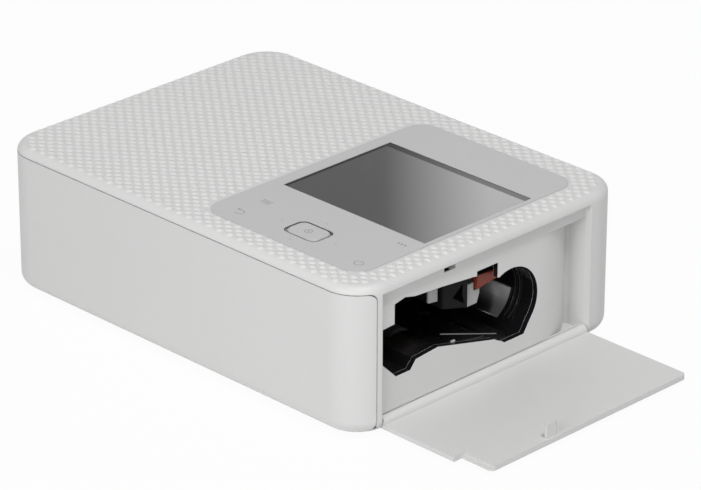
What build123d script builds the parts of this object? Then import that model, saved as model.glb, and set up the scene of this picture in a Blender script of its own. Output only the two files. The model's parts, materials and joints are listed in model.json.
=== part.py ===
from build123d import *
import os
from math import cos, radians, sin

os.makedirs("parts", exist_ok=True)

# Compact photo printer. X runs along the long side towards the ink door, Y from front to rear, Z up.
# The origin is the middle of the footprint on the table. Every length is in millimetres.

# ---------------------------------------------------------------- driving dimensions

# Body
width, depth, height = 182.2, 133.0, 57.6
half_width, half_depth = width / 2, depth / 2
top_z = 57.2                    # moulded top between the raised dots
underside_z = 1.3
corner_radius = 14.0
top_edge_radius = 3.4
bottom_edge_radius = 5.0
wall = 2.2
ceiling_z = 55.2                # inside of the top
base_top_z = 3.8

# Front cover: it turns about the centre of its own bottom edge rounding
cover_wall = 2.1
cover_seam_z = 54.4
cover_gap = 0.3
cover_corner_radius = 3.0
cover_swing = 4.9
front_hinge_y = -half_depth + bottom_edge_radius
front_hinge_z = underside_z + bottom_edge_radius
front_pin_radius = 1.3
front_pin_start, front_pin_end = 77.6, 86.2

# Paper mouth behind the front cover
mouth_low_x, mouth_high_x, mouth_top_z = -41.5, 75.5, 17.6

# Ink bay frame on the right side
frame_face_x = 88.4
frame_back_x = 86.2
sill_back_x = 85.0              # thicker wall behind the hinge trough
sill_top_z = 8.0
rebate_front_y, rebate_rear_y = -54.0, 49.3
rebate_top_z = 53.1
scoop_start_y = 26.0
scoop_radius = 33.0
scoop_floor_z, scoop_top_z = 4.0, 48.0
scoop_centre_x = frame_face_x - scoop_radius
frame_wall = frame_face_x - frame_back_x

# Ink door, lying open
door_hinge_x, door_hinge_z = 89.0, 4.35
door_barrel_radius = 2.1
door_pin_radius = 1.0
door_front_y, door_rear_y = -53.2, 49.1
door_edge_x = 137.5
door_low_z, door_top_z = 2.25, 4.1
running_gap = 0.08

# Mouth of the ink bay, in Y and Z
rear_lobe_y, rear_lobe_z, rear_lobe_radius = 11.5, 27.0, 13.6
front_lobe_y, front_lobe_z = -44.1, 32.5
liner_wall = 1.2
liner_gap = 0.3
liner_back_x, liner_front_x = -43.2, 86.2

# Side plates of the chassis
plate = 1.2
left_plate_x, right_plate_x = -44.4, 83.6
gear_low_x, gear_high_x = -48.5, -46.0
bracket_x = -54.2

# Shafts, as Y and Z of their centres
platen_at, platen_radius = (-24.8, 15.9), 7.0
capstan_at, capstan_radius = (-9.5, 11.0), 3.2
pinch_at, pinch_radius = (-9.5, 15.8), 1.4
pickup_at, pickup_radius = (-40.5, 13.7), 2.9
head_at = (16.0, 48.5)
supply_at = (front_lobe_y, front_lobe_z)
takeup_at = (rear_lobe_y, rear_lobe_z)
idler_at = (-25.04, 14.8)
feed_motor_at = (-14.6, 20.82)
ribbon_motor_at = (25.0, 34.0)
head_motor_at = (32.44, 46.63)
journal_radius = 2.0
paper_low_x, paper_high_x = -37.0, 69.0

# Control panel
panel_x, panel_y = 43.25, -1.4
panel_width, panel_depth = 71.9, 105.2
panel_floor_z, panel_top_z = 56.4, 57.4
window_x, window_y = 43.65, 5.2
window_width, window_depth = 69.5, 53.6
ok_x, ok_y = 43.55, -42.8
ok_width, ok_depth, ok_radius = 14.4, 9.7, 3.0
board_top_z = 53.2
film_keys = {"menu_key": (15.6, -36.0), "back_key": (15.4, -48.4), "power_key": (73.6, -48.4), "info_key": (73.4, -27.5)}
arrow_keys = {"up_key": (ok_x, -33.9), "down_key": (ok_x, -51.7), "left_key": (30.3, ok_y), "right_key": (56.8, ok_y)}
film_key_radius, arrow_key_radius = 3.2, 1.9
key_clearance = 0.25
key_board_bosses = [(26, -50), (62, -50), (26, -29), (62, -29)]

# Fasteners and feet
post_places = [(-85.2, -44), (-85.2, 44), (81.5, -50), (76, 60.4)]
post_radius, pilot_radius = 4.0, 1.25
foot_places = [(-70, -46), (66, -46), (-70, 54), (52, 54)]
foot_radius, foot_top_z = 6.0, 2.4


# ---------------------------------------------------------------- shared shapes

def across(x, centre=(0, 0)):
    """Plane square to X, with its origin on a shaft's centre and its own x along Y."""
    return Plane(origin=(x, centre[0], centre[1]), x_dir=(0, 1, 0), z_dir=(1, 0, 0))


def rod(start_x, end_x, centre, radius, mode=Mode.ADD):
    """Round bar along X, added to or cut from the part in hand."""
    with BuildSketch(across(start_x, centre)) as section:
        Circle(radius)
    extrude(section.sketch, amount=end_x - start_x, mode=mode)


def block(low, high, mode=Mode.ADD):
    """Rectangular block between two corners, added to or cut from the part in hand."""
    middle = [(a + b) / 2 for a, b in zip(low, high)]
    with Locations(tuple(middle)):
        Box(high[0] - low[0], high[1] - low[1], high[2] - low[2], mode=mode)


def post(x, y, low_z, high_z, radius, mode=Mode.ADD):
    """Upright round post, added to or cut from the part in hand."""
    with Locations((x, y, (low_z + high_z) / 2)):
        Cylinder(radius, high_z - low_z, mode=mode)


def body_form():
    """The printer's outer form, closed and solid."""
    with BuildPart() as form:
        with BuildSketch(Plane.XY.offset(underside_z)):
            RectangleRounded(width, depth, corner_radius)
        extrude(amount=top_z - underside_z)
        fillet(form.edges().group_by(Axis.Z)[-1], top_edge_radius)
        fillet(form.edges().group_by(Axis.Z)[0], bottom_edge_radius)
    return form.part


def cover_side(swing, top):
    """Side view of the front cover: straight rear edge, and a round end about its hinge."""
    front = -half_depth - 5
    with BuildSketch(across(-half_width - 1)) as side:
        with Locations(((front_hinge_y + swing + front) / 2, (top + front_hinge_z) / 2)):
            Rectangle(front_hinge_y + swing - front, top - front_hinge_z)
        fillet(side.vertices().sort_by(Axis.Y)[-2:].sort_by(Axis.X)[-1], cover_corner_radius)
        with Locations(((front_hinge_y + front) / 2, front_hinge_z / 2)):
            Rectangle(front_hinge_y - front, front_hinge_z + 2)
        with Locations((front_hinge_y, front_hinge_z)):
            Circle(swing)
    return side.sketch


def bay_frame(z, back_x, gap, scooped):
    """Plan of the ink bay frame: a straight wall, then the wall that follows the finger scoop."""
    rear = rebate_rear_y + frame_wall + gap
    left = 70.0
    with BuildSketch(Plane.XY.offset(z)) as frame:
        with Locations(((left + half_width) / 2, (rear - half_depth) / 2)):
            Rectangle(half_width - left, rear + half_depth)
        cut_rear = scoop_start_y if scooped else rear
        with Locations(((left + back_x - gap) / 2, (cut_rear - half_depth) / 2)):
            Rectangle(back_x - gap - left, cut_rear + half_depth, mode=Mode.SUBTRACT)
        if scooped:
            with Locations((scoop_centre_x, scoop_start_y)):
                Circle(scoop_radius - frame_wall - gap, mode=Mode.SUBTRACT)
    return frame.sketch


def interior(z, back_x, gap=0.0, scooped=True):
    """Plan of the space inside the walls."""
    inset = wall + gap
    with BuildSketch(Plane.XY.offset(z)) as plan:
        RectangleRounded(width - 2 * inset, depth - 2 * inset, corner_radius - inset)
        add(bay_frame(z, back_x, gap, scooped), mode=Mode.SUBTRACT)
    return plan.sketch


def bay_mouth(x, grow=0.0, notch=False):
    """The two-lobed outline that the ink cassette slides through."""
    with BuildSketch(across(x)) as mouth:
        with Locations((rear_lobe_y, rear_lobe_z)):
            Circle(rear_lobe_radius)
        with BuildLine():
            Polyline(
                (-35.6, 22.0), (-24.8, 22.9), (4.9, 15.6), (8.6, 13.0), (18.4, 13.0), (23.6, 20.9), (14.0, 35.0),
                (5.0, 39.2), (-6.8, 43.5), (-23.2, 45.1), (-36.2, 46.0), (-41.0, 47.2), (-46.1, 46.2), (-46.1, 38.8),
                (-52.6, 38.4), (-52.6, 26.0), (-45.3, 18.8), (-38.3, 18.8), close=True)
        make_face()
        if notch:
            with Locations((-0.7, 41.0)):
                Rectangle(10.4, 8.2)
        if grow:
            offset(amount=grow, kind=Kind.INTERSECTION)
    return mouth.sketch


def gear_blank(start_x, end_x, centre, teeth, tip_radius, tooth_depth, bore):
    """Spur gear with straight-sided teeth, added to the part in hand."""
    root = tip_radius - tooth_depth
    tooth = 3.1 * tip_radius / teeth
    with BuildSketch(across(start_x, centre)) as profile:
        Circle(root)
        with PolarLocations(root, teeth):
            Rectangle(2 * tooth_depth, tooth)
        Circle(bore, mode=Mode.SUBTRACT)
    extrude(profile.sketch, amount=end_x - start_x)


# ---------------------------------------------------------------- housing

with BuildPart() as housing:
    add(body_form())
    # hollow inside: behind the sill, behind the frame, and above the scoop
    extrude(interior(0, sill_back_x), amount=sill_top_z, mode=Mode.SUBTRACT)
    extrude(interior(sill_top_z, frame_back_x), amount=scoop_top_z + frame_wall - sill_top_z, mode=Mode.SUBTRACT)
    upper_z = scoop_top_z + frame_wall
    extrude(interior(upper_z, frame_back_x, 0, False), amount=ceiling_z - upper_z, mode=Mode.SUBTRACT)
    # room for the front cover and its swing
    extrude(cover_side(cover_swing + cover_gap, cover_seam_z), amount=width + 2, mode=Mode.SUBTRACT)
    block((-half_width - 1, -half_depth - 1, 0), (half_width + 1, front_hinge_y + 4, front_hinge_z), Mode.SUBTRACT)
    # door rebate, with a little draft
    with BuildSketch(across(frame_face_x)) as rebate:
        with Locations(((rebate_front_y + rebate_rear_y) / 2, (rebate_top_z - 12) / 2)):
            Rectangle(rebate_rear_y - rebate_front_y, rebate_top_z + 12)
    extrude(rebate.sketch, amount=4, taper=-8, mode=Mode.SUBTRACT)
    # finger scoop at the rear end of the rebate
    with BuildSketch(Plane.XY.offset(scoop_floor_z)) as scoop:
        with Locations(((70 + frame_face_x + 0.1) / 2, (scoop_start_y + rebate_rear_y) / 2)):
            Rectangle(frame_face_x + 0.1 - 70, rebate_rear_y - scoop_start_y)
        with Locations((scoop_centre_x, scoop_start_y)):
            Circle(scoop_radius, mode=Mode.SUBTRACT)
        fillet(scoop.vertices().sort_by(Axis.X)[0], 1.2)
    extrude(scoop.sketch, amount=scoop_top_z - scoop_floor_z, mode=Mode.SUBTRACT)
    # hinge trough
    trough_radius = door_barrel_radius + 0.4
    with BuildSketch(Plane.XZ.offset(-rebate_rear_y)) as trough:
        with Locations((door_hinge_x, door_hinge_z)):
            Circle(trough_radius)
        with Locations((door_hinge_x + 1.5, door_hinge_z / 2 - 1)):
            Rectangle(2 * trough_radius + 3, door_hinge_z + 2)
    extrude(trough.sketch, amount=rebate_rear_y - rebate_front_y, mode=Mode.SUBTRACT)
    # holes for the door's two hinge pins
    for low_y, high_y in ((-57, rebate_front_y + 1), (rebate_rear_y - 1, rebate_rear_y + 2)):
        with Locations(Location((door_hinge_x, (low_y + high_y) / 2, door_hinge_z), (90, 0, 0))):
            Cylinder(door_pin_radius + running_gap, high_y - low_y, mode=Mode.SUBTRACT)
    # ink bay mouth and the slot for the door's latch
    extrude(bay_mouth(frame_back_x - 1, notch=True), amount=4, mode=Mode.SUBTRACT)
    block((frame_back_x - 1, -22.2, 50.1), (frame_face_x + 1, -16.5, 52.7), Mode.SUBTRACT)
    # recess, window and key holes for the control panel
    with BuildSketch(Plane.XY.offset(panel_floor_z)) as recess:
        with Locations((panel_x, panel_y)):
            RectangleRounded(panel_width + 0.1, panel_depth + 0.1, 7.05)
    extrude(recess.sketch, amount=3, mode=Mode.SUBTRACT)
    block((window_x - 33, window_y - 25, 54), (window_x + 33, window_y + 25, 57), Mode.SUBTRACT)
    block((ok_x - 8.6, ok_y - 6, 54), (ok_x + 8.6, ok_y + 6, 57), Mode.SUBTRACT)
    for x, y in film_keys.values():
        post(x, y, 54, 57, film_key_radius + key_clearance, Mode.SUBTRACT)
    for x, y in arrow_keys.values():
        post(x, y, 54, 57, arrow_key_radius + key_clearance, Mode.SUBTRACT)
    for x, y in key_board_bosses:
        post(x, y, board_top_z, ceiling_z, 2.0)
    # rear paper slot, with a bevelled lip
    slot_x, slot_z = 16.0, 13.3
    block((slot_x - 54, half_depth - 4, 9.0), (slot_x + 54, half_depth + 1, 17.6), Mode.SUBTRACT)
    with BuildSketch(Plane.XZ.offset(-half_depth)) as lip:
        with Locations((slot_x, slot_z)):
            Rectangle(110, 10.6)
    extrude(lip.sketch, amount=1.0, taper=40, mode=Mode.SUBTRACT)
    # power inlet in the rear, card and data openings and air slots in the left side
    block((-75, half_depth - 4, 22.4), (-65, half_depth + 1, 30.4), Mode.SUBTRACT)
    block((-half_width - 1, -51.0, 24.4), (-half_width + 4, -25.8, 27.0), Mode.SUBTRACT)
    block((-half_width - 1, -42.8, 18.6), (-half_width + 4, -33.4, 22.4), Mode.SUBTRACT)
    with Locations((-half_width, 14, 24)):
        with GridLocations(4, 4.6, 1, 13):
            Box(8, 1.8, 22, mode=Mode.SUBTRACT)
    # posts for the base screws
    for x, y in post_places:
        post(x, y, base_top_z, sill_top_z, post_radius)
        post(x, y, 0, sill_top_z - 1, pilot_radius, Mode.SUBTRACT)
housing.part.label = "housing"
export_step(housing.part, "parts/housing.step")

# ---------------------------------------------------------------- base cover

with BuildPart() as base_cover:
    add(body_form())
    extrude(interior(0, sill_back_x, 0.2), amount=base_top_z, mode=Mode.INTERSECT)
    clearance = bottom_edge_radius + cover_gap
    block((-half_width, -half_depth, 0), (half_width, front_hinge_y + clearance, 10), Mode.SUBTRACT)
    for x, y in foot_places:
        post(x, y, 0, foot_top_z, foot_radius + 0.1, Mode.SUBTRACT)
    for x, y in post_places:
        post(x, y, 0, 10, pilot_radius, Mode.SUBTRACT)
        post(x, y, 0, 2.8, 2.9, Mode.SUBTRACT)
    # columns under the boards, and two ribs that carry the right side plate
    for x, y in ((-76, -49), (-76, -29), (-58, -49), (-58, -29)):
        post(x, y, base_top_z, 22.2, 2.4)
    for x, y in ((-77, 49), (-77, 58), (-56, 49), (-56, 58)):
        post(x, y, base_top_z, 20.0, 2.4)
    for low_y in (-45.5, 14):
        block((81.6, low_y, base_top_z), (right_plate_x, low_y + 4, 9.6))
    # rails that guide the paper cassette
    block((left_plate_x + plate, -56, base_top_z), (mouth_low_x, -36, 10.0))
    block((mouth_high_x, -54, base_top_z), (mouth_high_x + 1.5, -36, 10.0))
base_cover.part.label = "base_cover"
export_step(base_cover.part, "parts/base_cover.step")

# ---------------------------------------------------------------- feet and base screws

with BuildPart() as feet:
    for x, y in foot_places:
        post(x, y, 0, foot_top_z, foot_radius)
    chamfer(feet.edges().group_by(Axis.Z)[0], 0.4)
feet.part.label = "feet"
export_step(feet.part, "parts/feet.step")

with BuildPart() as base_screws:
    for x, y in post_places:
        post(x, y, 1.6, 2.8, 2.6)
        post(x, y, 2.8, sill_top_z - 1, pilot_radius)
        with Locations((x, y, 1.8)):
            Box(2.6, 0.6, 0.8, mode=Mode.SUBTRACT)
            Box(0.6, 2.6, 0.8, mode=Mode.SUBTRACT)
base_screws.part.label = "base_screws"
export_step(base_screws.part, "parts/base_screws.step")

# ---------------------------------------------------------------- front cover

with BuildPart() as front_cover:
    add(body_form())
    extrude(cover_side(cover_swing, cover_seam_z - cover_gap), amount=width + 2, mode=Mode.INTERSECT)
    with BuildPart(mode=Mode.PRIVATE) as cover_hollow:
        with BuildSketch(Plane.XY.offset(underside_z + cover_wall)):
            RectangleRounded(width - 2 * cover_wall, depth - 2 * cover_wall, corner_radius - cover_wall)
        extrude(amount=height)
        fillet(cover_hollow.edges().group_by(Axis.Z)[0], bottom_edge_radius - cover_wall)
    add(cover_hollow.part, mode=Mode.SUBTRACT)
    block((-84.8, front_hinge_y, 0), (84.8, 0, front_hinge_z), Mode.SUBTRACT)
    # hinge pins, and stiffening ribs across the inside
    for side in (-1, 1):
        low, high = sorted((side * front_pin_start, side * front_pin_end))
        rod(low, high, (front_hinge_y, front_hinge_z), front_pin_radius)
    for x in (-60, -20, 20, 60):
        block((x - 0.6, -half_depth + 1, 14), (x + 0.6, -half_depth + cover_wall + 1.2, 50))
front_cover.part.label = "front_cover"
export_step(front_cover.part, "parts/front_cover.step")

# ---------------------------------------------------------------- front frame behind the cover

frame_low_y, frame_high_y = -58.4, -56.4
with BuildPart() as front_frame:
    block((-86.0, frame_low_y, 10.8), (86.0, frame_high_y, ceiling_z))
    block((mouth_low_x, frame_low_y - 1, 0), (mouth_high_x, frame_high_y + 1, mouth_top_z), Mode.SUBTRACT)
    # rim round the paper mouth
    block((mouth_low_x - 1.5, frame_low_y - 1.5, mouth_top_z), (mouth_high_x + 1.5, frame_low_y, mouth_top_z + 1.5))
    # arms down to the cover's hinge pins
    for side in (-1, 1):
        low, high = sorted((side * 78.0, side * 80.2))
        with BuildSketch(across(low)) as arm:
            with BuildLine():
                Polyline(
                    (front_hinge_y - 2.1, front_hinge_z), (front_hinge_y - 2.1, front_hinge_z + 6),
                    (frame_high_y, front_hinge_z + 8), (frame_high_y, front_hinge_z + 5.4),
                    (front_hinge_y + 2.2, front_hinge_z + 2), (front_hinge_y + 2.2, front_hinge_z), close=True)
            make_face()
            with Locations((front_hinge_y, front_hinge_z)):
                Circle(2.2)
                Circle(front_pin_radius + running_gap, mode=Mode.SUBTRACT)
        extrude(arm.sketch, amount=high - low)
    # legs down to the base, behind the cover's swing
    for low_x, high_x in ((-86.0, -79.0), (-50, -43.5), (77.5, 80.0)):
        block((low_x, frame_high_y, base_top_z), (high_x, frame_high_y + 2.0, 16))
    block((-86.0, frame_low_y, 10.8), (-79.0, frame_high_y, 16))
front_frame.part.label = "front_frame"
export_step(front_frame.part, "parts/front_frame.step")

# ---------------------------------------------------------------- ink door, lying open

door_length = door_rear_y - door_front_y
notch_start_x = 123.6
latch_low_x, latch_high_x = 135.5, 136.7
with BuildPart() as ink_door:
    with BuildSketch(Plane.XY.offset(door_low_z)) as leaf:
        with Locations(((door_hinge_x + door_edge_x) / 2, (door_front_y + door_rear_y) / 2)):
            Rectangle(door_edge_x - door_hinge_x, door_length)
        with Locations(((notch_start_x + door_edge_x + 1) / 2, door_front_y + 1.9)):
            Rectangle(door_edge_x + 1 - notch_start_x, 3.8, mode=Mode.SUBTRACT)
        fillet(leaf.vertices().group_by(Axis.X)[-1], 1.8)
    extrude(leaf.sketch, amount=door_top_z - door_low_z)
    # thin lip along the finger notch
    block((notch_start_x, door_front_y + 3, 3.2), (door_edge_x + 1, door_front_y + 5.3, 5), Mode.SUBTRACT)
    # hinge barrel and its two pins
    with Locations(Location((door_hinge_x, (door_front_y + door_rear_y) / 2, door_hinge_z), (90, 0, 0))):
        Cylinder(door_barrel_radius, door_length)
    for low_y, high_y in ((door_front_y - 2.4, door_front_y), (door_rear_y, door_rear_y + 1.9)):
        with Locations(Location((door_hinge_x, (low_y + high_y) / 2, door_hinge_z), (90, 0, 0))):
            Cylinder(door_pin_radius, high_y - low_y)
    # latch post with its barb
    block((latch_low_x, -21.6, door_top_z), (latch_high_x, -17.0, 9.4))
    block((latch_low_x - 0.4, -21.6, 8.2), (latch_low_x, -17.0, 9.0))
ink_door.part.label = "ink_door"
export_step(ink_door.part, "parts/ink_door.step")

# ---------------------------------------------------------------- control panel, display and keys

with BuildPart() as control_panel:
    with BuildSketch(Plane.XY.offset(panel_floor_z)) as sheet:
        with Locations((panel_x, panel_y)):
            RectangleRounded(panel_width, panel_depth, 7.0)
    extrude(sheet.sketch, amount=panel_top_z - panel_floor_z)
    chamfer(control_panel.edges().group_by(Axis.Z)[-1], 0.25)
    with BuildSketch(Plane.XY.offset(panel_floor_z)) as openings:
        with Locations((window_x, window_y)):
            Rectangle(window_width, window_depth)
        with Locations((ok_x, ok_y)):
            RectangleRounded(ok_width + 0.5, ok_depth + 0.5, ok_radius + 0.25)
    extrude(openings.sketch, amount=3, mode=Mode.SUBTRACT)
control_panel.part.label = "control_panel"
export_step(control_panel.part, "parts/control_panel.step")

with BuildPart() as display_window:
    block((window_x - window_width / 2 + 0.1, window_y - window_depth / 2 + 0.1, panel_floor_z),
          (window_x + window_width / 2 - 0.1, window_y + window_depth / 2 - 0.1, panel_top_z - 0.1))
display_window.part.label = "display_window"
export_step(display_window.part, "parts/display_window.step")

with BuildPart() as display_module:
    block((7.4, -23.4, 52.6), (79.4, 34.5, ceiling_z))
    block((window_x - 32.8, window_y - 24.8, ceiling_z), (window_x + 32.8, window_y + 24.8, panel_floor_z - 0.05))
display_module.part.label = "display_module"
export_step(display_module.part, "parts/display_module.step")

with BuildPart() as ok_key:
    with BuildSketch(Plane.XY.offset(56.0)) as cap:
        with Locations((ok_x, ok_y)):
            RectangleRounded(ok_width, ok_depth, ok_radius)
    extrude(cap.sketch, amount=height - 56.0)
    chamfer(ok_key.edges().group_by(Axis.Z)[-1], 0.3)
    block((ok_x - 8.2, ok_y - 5.6, 55.0), (ok_x + 8.2, ok_y + 5.6, 56.1))
    post(ok_x, ok_y, 54.85, 55.0, 2.0)
ok_key.part.label = "ok_key"
export_step(ok_key.part, "parts/ok_key.step")

key_sizes = {name: film_key_radius for name in film_keys} | {name: arrow_key_radius for name in arrow_keys}
key_places = film_keys | arrow_keys
for name, (x, y) in key_places.items():
    with BuildPart() as film_key:
        post(x, y, 55.0, panel_floor_z - 0.05, key_sizes[name])
        post(x, y, 54.75, 55.0, 1.2)
    film_key.part.label = name
    export_step(film_key.part, f"parts/{name}.step")

with BuildPart() as key_board:
    block((9, -54.6, board_top_z - 1.2), (79.5, -23.9, board_top_z))
key_board.part.label = "key_board"
export_step(key_board.part, "parts/key_board.step")

with BuildPart() as key_switches:
    for x, y in [(ok_x, ok_y)] + list(key_places.values()):
        block((x - 2, y - 2, board_top_z), (x + 2, y + 2, board_top_z + 0.9))
        post(x, y, board_top_z + 0.9, board_top_z + 1.2, 1.2)
key_switches.part.label = "key_switches"
export_step(key_switches.part, "parts/key_switches.step")

# ---------------------------------------------------------------- ink bay liner

with BuildPart() as ink_bay_liner:
    outer, inner = liner_gap + liner_wall, liner_gap
    extrude(bay_mouth(liner_back_x, outer), amount=liner_front_x - liner_back_x)
    extrude(bay_mouth(right_plate_x + plate, outer + 0.9), amount=liner_front_x - right_plate_x - plate)
    extrude(bay_mouth(liner_back_x + liner_wall, inner), amount=liner_front_x - liner_back_x, mode=Mode.SUBTRACT)
    block((liner_front_x - 0.3, scoop_start_y - 0.2, 0), (90, 40, 60), Mode.SUBTRACT)
    # slot in the floor for the platen, open roof for the print head, corner for the lock lever
    block((-38.5, -30.6, 12), (70.5, -17.6, 30), Mode.SUBTRACT)
    block((liner_back_x + liner_wall, -33.0, 30), (76.0, 1.0, 60), Mode.SUBTRACT)
    block((79.0, -5.5, 34.8), (90, 10.5, 60), Mode.SUBTRACT)
    # holes in the end wall for the two spindles
    rod(liner_back_x - 1, liner_back_x + 3, supply_at, journal_radius + 0.6, Mode.SUBTRACT)
    rod(liner_back_x - 1, liner_back_x + 3, takeup_at, journal_radius + 0.6, Mode.SUBTRACT)
ink_bay_liner.part.label = "ink_bay_liner"
export_step(ink_bay_liner.part, "parts/ink_bay_liner.step")

# ---------------------------------------------------------------- chassis side plates and motor bracket

bush_radius, bush_flange_radius = 2.9, 3.4
bushed_shafts = [(platen_at, journal_radius), (capstan_at, journal_radius), (pickup_at, 1.5), (head_at, journal_radius)]

with BuildPart() as left_side_plate:
    block((left_plate_x, -52, base_top_z), (left_plate_x + plate, 44, 53.6))
    for centre, _ in bushed_shafts:
        rod(left_plate_x - 1, left_plate_x + 3, centre, bush_radius, Mode.SUBTRACT)
    for centre in (supply_at, takeup_at):
        rod(left_plate_x - 1, left_plate_x + 3, centre, journal_radius + running_gap, Mode.SUBTRACT)
    rod(left_plate_x - 1, left_plate_x + 3, pinch_at, 1.0 + running_gap, Mode.SUBTRACT)
    for low_y, high_y in ((-52, -22), (2, 44)):
        block((left_plate_x - 11, low_y, base_top_z), (left_plate_x, high_y, base_top_z + plate))
left_side_plate.part.label = "left_side_plate"
export_step(left_side_plate.part, "parts/left_side_plate.step")

with BuildPart() as right_side_plate:
    block((right_plate_x, -50, sill_top_z + 0.2), (right_plate_x + plate, 32, 49.6))
    block((right_plate_x, -4, 49.6), (right_plate_x + plate, 32, 54.0))
    extrude(bay_mouth(right_plate_x - 1, liner_gap + liner_wall + 0.4), amount=4, mode=Mode.SUBTRACT)
    block((right_plate_x - 1, -5.5, 34), (right_plate_x + 3, 10.5, 45.4), Mode.SUBTRACT)
    for centre, _ in bushed_shafts:
        rod(right_plate_x - 1, right_plate_x + 3, centre, bush_radius, Mode.SUBTRACT)
    rod(right_plate_x - 1, right_plate_x + 3, pinch_at, 1.0 + running_gap, Mode.SUBTRACT)
    # folded guide for the lock lever's stem
    block((79.8, -1.0, 46.0), (right_plate_x, 7.0, 52.4))
    block((80.5, 0.75, 45), (right_plate_x + 2, 5.25, 51.6), Mode.SUBTRACT)
right_side_plate.part.label = "right_side_plate"
export_step(right_side_plate.part, "parts/right_side_plate.step")

with BuildPart() as bushes:
    for centre, journal in bushed_shafts:
        for outer_x, flange_x in ((left_plate_x, left_plate_x + plate), (right_plate_x + plate, right_plate_x)):
            low, high = sorted((outer_x, flange_x))
            rod(low, high, centre, bush_radius)
            flange = 0.8 if flange_x < 0 else -0.8
            low_f, high_f = sorted((flange_x, flange_x + flange))
            rod(low_f, high_f, centre, bush_flange_radius)
            rod(low - 1, high + 1, centre, journal + 0.05, Mode.SUBTRACT)
bushes.part.label = "bushes"
export_step(bushes.part, "parts/bushes.step")

standoffs = [(-23, 34), (4, 8), (-21, 48.5), (40, 14)]
with BuildPart() as motor_bracket:
    block((bracket_x, -24, 7), (bracket_x + plate, 43, 53.4))
    for centre, radius in ((feed_motor_at, 3.0), (ribbon_motor_at, 3.4), (head_motor_at, 2.8)):
        rod(bracket_x - 1, bracket_x + 3, centre, radius, Mode.SUBTRACT)
    for centre in standoffs:
        rod(bracket_x + plate, left_plate_x, centre, 2.0)
    # stud for the idler gear, with its shoulder and retaining ring
    block((bracket_x, -30, 7), (bracket_x + plate, -24, 20.5))
    rod(bracket_x, gear_low_x - 0.15, idler_at, 2.6)
    rod(gear_low_x - 0.15, -45.4, idler_at, 1.5)
    rod(gear_high_x + 0.15, -45.4, idler_at, 2.4)
motor_bracket.part.label = "motor_bracket"
export_step(motor_bracket.part, "parts/motor_bracket.step")

with BuildPart() as chassis_screws:
    for x, y in ((-50, -38), (-50, 8), (-50, 38)):
        post(x, y, base_top_z + plate, base_top_z + plate + 1.4, 2.6)
    for centre in standoffs:
        rod(bracket_x - 1.2, bracket_x, centre, 2.4)
chassis_screws.part.label = "chassis_screws"
export_step(chassis_screws.part, "parts/chassis_screws.step")

# ---------------------------------------------------------------- paper path

with BuildPart() as platen_shaft:
    rod(left_plate_x - 0.2, right_plate_x + plate, platen_at, journal_radius)
    rod(paper_low_x, paper_high_x, platen_at, 3.5)
platen_shaft.part.label = "platen_shaft"
export_step(platen_shaft.part, "parts/platen_shaft.step")

with BuildPart() as platen_sleeve:
    rod(paper_low_x, paper_high_x, platen_at, platen_radius)
    rod(paper_low_x, paper_high_x, platen_at, 3.5, Mode.SUBTRACT)
platen_sleeve.part.label = "platen_sleeve"
export_step(platen_sleeve.part, "parts/platen_sleeve.step")

with BuildPart() as capstan_roller:
    rod(-49.5, right_plate_x + plate, capstan_at, journal_radius)
    rod(paper_low_x, paper_high_x, capstan_at, capstan_radius)
capstan_roller.part.label = "capstan_roller"
export_step(capstan_roller.part, "parts/capstan_roller.step")

with BuildPart() as capstan_gear:
    gear_blank(gear_low_x, gear_high_x, capstan_at, 26, 6.35, 1.0, journal_radius)
capstan_gear.part.label = "capstan_gear"
export_step(capstan_gear.part, "parts/capstan_gear.step")

with BuildPart() as pinch_roller:
    rod(left_plate_x, right_plate_x + plate, pinch_at, 1.0)
    rod(paper_low_x, paper_high_x, pinch_at, pinch_radius)
pinch_roller.part.label = "pinch_roller"
export_step(pinch_roller.part, "parts/pinch_roller.step")

tyre_places = [(0, 12), (20, 32)]
with BuildPart() as pickup_shaft:
    rod(-49.0, right_plate_x + plate, pickup_at, 1.5)
    gear_blank(gear_low_x, gear_high_x, pickup_at, 24, 5.85, 1.0, 1.0)
pickup_shaft.part.label = "pickup_shaft"
export_step(pickup_shaft.part, "parts/pickup_shaft.step")

with BuildPart() as pickup_tyres:
    for low_x, high_x in tyre_places:
        rod(low_x, high_x, pickup_at, pickup_radius)
    block((-1, pickup_at[0] - 4, pickup_at[1] + 2.1), (33, pickup_at[0] + 4, pickup_at[1] + 4), Mode.SUBTRACT)
    rod(-1, 33, pickup_at, 1.5, Mode.SUBTRACT)
pickup_tyres.part.label = "pickup_tyres"
export_step(pickup_tyres.part, "parts/pickup_tyres.step")

with BuildPart() as front_paper_guide:
    with BuildSketch(across(left_plate_x + plate)) as ramp:
        with BuildLine():
            Polyline((-37.0, 11.6), (-35.2, 11.0), (-32.6, 14.0), (-32.6, 18.8), (-33.6, 18.8), close=True)
        make_face()
    extrude(ramp.sketch, amount=right_plate_x - left_plate_x - plate)
front_paper_guide.part.label = "front_paper_guide"
export_step(front_paper_guide.part, "parts/front_paper_guide.step")

guide_low_x, guide_high_x = -38.0, 70.0
with BuildPart() as rear_paper_guide:
    with BuildSketch(across(guide_low_x)) as tray:
        with BuildLine():
            Polyline(
                (-5.4, 13.0), (6, 10.6), (24, 10.2), (58, 10.3), (64.2, 10.8),
                (64.2, 9.2), (58, 8.7), (24, 8.6), (6, 9.0), (-5.4, 11.4), close=True)
        make_face()
    extrude(tray.sketch, amount=guide_high_x - guide_low_x)
    for low_x in (guide_low_x, guide_high_x - 1.5):
        block((low_x, 29, base_top_z), (low_x + 1.5, 64.2, 15.5))
        block((low_x, 0, base_top_z), (low_x + 1.5, 29, 9.0))
rear_paper_guide.part.label = "rear_paper_guide"
export_step(rear_paper_guide.part, "parts/rear_paper_guide.step")

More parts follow.
